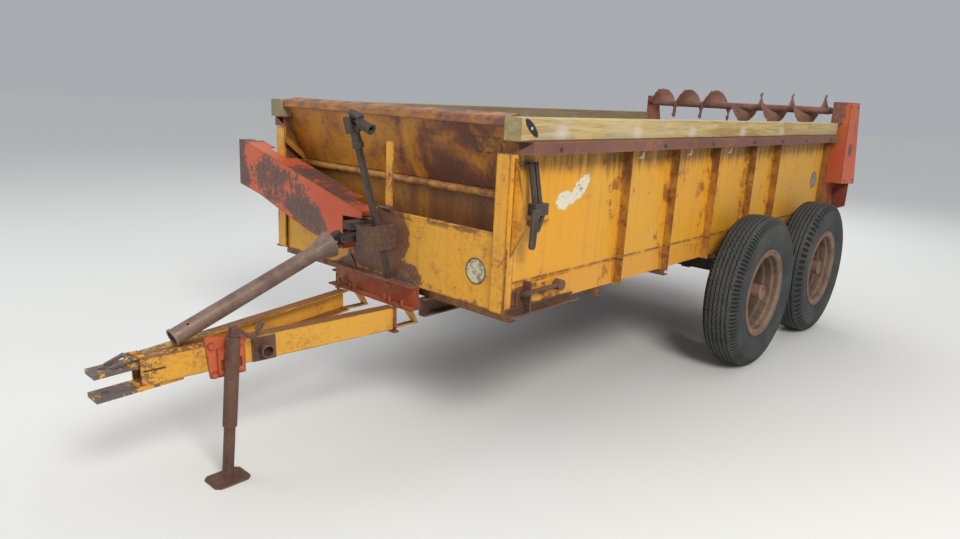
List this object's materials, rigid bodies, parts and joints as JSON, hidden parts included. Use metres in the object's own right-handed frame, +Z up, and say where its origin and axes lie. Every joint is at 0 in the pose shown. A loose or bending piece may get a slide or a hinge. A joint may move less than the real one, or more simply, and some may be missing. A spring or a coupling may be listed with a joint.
{
  "type": "tandem-axle manure spreader",
  "caption": "Pull-type tandem-axle manure spreader with a sheet steel box on folded uprights, timber rails, apron floor, auger beaters, channel tongue and drive shaft.",
  "frame": {"origin": "on the ground under the middle of the machine, on its centre line", "axes": "+X forward to the hitch, +Y to the machine's left, +Z up"},
  "size_m": [5.97, 2.366, 1.8169],
  "materials": {
    "yellow_paint": "faded and rust-stained",
    "red_paint": "chipped and rust-stained",
    "brown_paint": "dull, rusted",
    "wheel_paint": "dirty and rusted",
    "rusty_steel": "rusted",
    "cast_iron": "oily and dusty",
    "timber": "weathered",
    "floor_boards": "worn and stained",
    "tyre": "weathered rubber"
  },
  "bodies": {
    "spreader": {"side_left": "yellow_paint", "side_right": "yellow_paint", "rails": "brown_paint", "timbers": "timber", "headboard": "yellow_paint", "front_panel": "yellow_paint", "posts": "yellow_paint", "floor": "floor_boards", "sills": "brown_paint", "cross_members": "yellow_paint", "tongue_left": "yellow_paint", "tongue_right": "yellow_paint", "hitch_clevis": "rusty_steel", "bolster": "red_paint", "jack_bracket": "red_paint", "jack_tube": "rusty_steel", "jack_storage": "rusty_steel", "stored_shaft": "rusty_steel", "input_shaft": "rusty_steel", "chain_case": "red_paint", "line_bearings": "cast_iron", "rear_gearbox": "red_paint", "apron_chains": "rusty_steel", "apron_slats": "rusty_steel", "apron_shafts": "rusty_steel", "take_ups": "rusty_steel", "bearing_plates": "red_paint", "chain_cover": "red_paint", "walking_beams": "rusty_steel", "cross_axle": "rusty_steel", "side_latch": "rusty_steel"},
    "jack_leg": {"jack_leg": "rusty_steel"},
    "pto_shaft": {"pto_tube": "rusty_steel", "pto_yoke": "rusty_steel"},
    "line_shaft": {"line_shaft": "rusty_steel"},
    "upper_beater": {"upper_beater": "rusty_steel"},
    "lower_beater": {"lower_beater": "rusty_steel"},
    "front_left_wheel": {"wheel_front_left": "wheel_paint", "tyre_front_left": "tyre"},
    "front_right_wheel": {"wheel_front_right": "wheel_paint", "tyre_front_right": "tyre"},
    "rear_left_wheel": {"wheel_rear_left": "wheel_paint", "tyre_rear_left": "tyre"},
    "rear_right_wheel": {"wheel_rear_right": "wheel_paint", "tyre_rear_right": "tyre"}
  },
  "joints": [
    {"name": "front_left_wheel_spin", "type": "hinge", "parent": "spreader", "child": "front_left_wheel", "pos_m": [-0.7195, 1.0655, 0.5], "axis": [0, 1, 0], "continuous": true},
    {"name": "front_right_wheel_spin", "type": "hinge", "parent": "spreader", "child": "front_right_wheel", "pos_m": [-0.7195, -1.0655, 0.5], "axis": [0, 1, 0], "continuous": true},
    {"name": "rear_left_wheel_spin", "type": "hinge", "parent": "spreader", "child": "rear_left_wheel", "pos_m": [-1.8545, 1.0655, 0.5], "axis": [0, 1, 0], "continuous": true},
    {"name": "rear_right_wheel_spin", "type": "hinge", "parent": "spreader", "child": "rear_right_wheel", "pos_m": [-1.8545, -1.0655, 0.5], "axis": [0, 1, 0], "continuous": true},
    {"name": "lower_beater_spin", "type": "hinge", "parent": "spreader", "child": "lower_beater", "pos_m": [-2.74, 0, 1.181], "axis": [0, 1, 0], "continuous": true},
    {"name": "upper_beater_spin", "type": "hinge", "parent": "spreader", "child": "upper_beater", "pos_m": [-2.61, 0, 1.681], "axis": [0, 1, 0], "continuous": true},
    {"name": "line_shaft_spin", "type": "hinge", "parent": "spreader", "child": "line_shaft", "pos_m": [-0.41, -0.985, 1.181], "axis": [1, 0, 0], "continuous": true},
    {"name": "jack_leg_slide", "type": "slide", "parent": "spreader", "child": "jack_leg", "axis": [0.075, 0, -0.9972], "range_m": [-0.2, 0.1]},
    {"name": "pto_shaft_lift", "type": "hinge", "parent": "spreader", "child": "pto_shaft", "pos_m": [1.822, 0, 0.956], "axis": [0, -1, 0], "range_deg": [0, 35]}
  ],
  "couplings": [
    {"joint": "upper_beater_spin", "follows": "lower_beater_spin", "ratio": 1.25},
    {"joint": "line_shaft_spin", "follows": "lower_beater_spin", "ratio": 1}
  ]
}
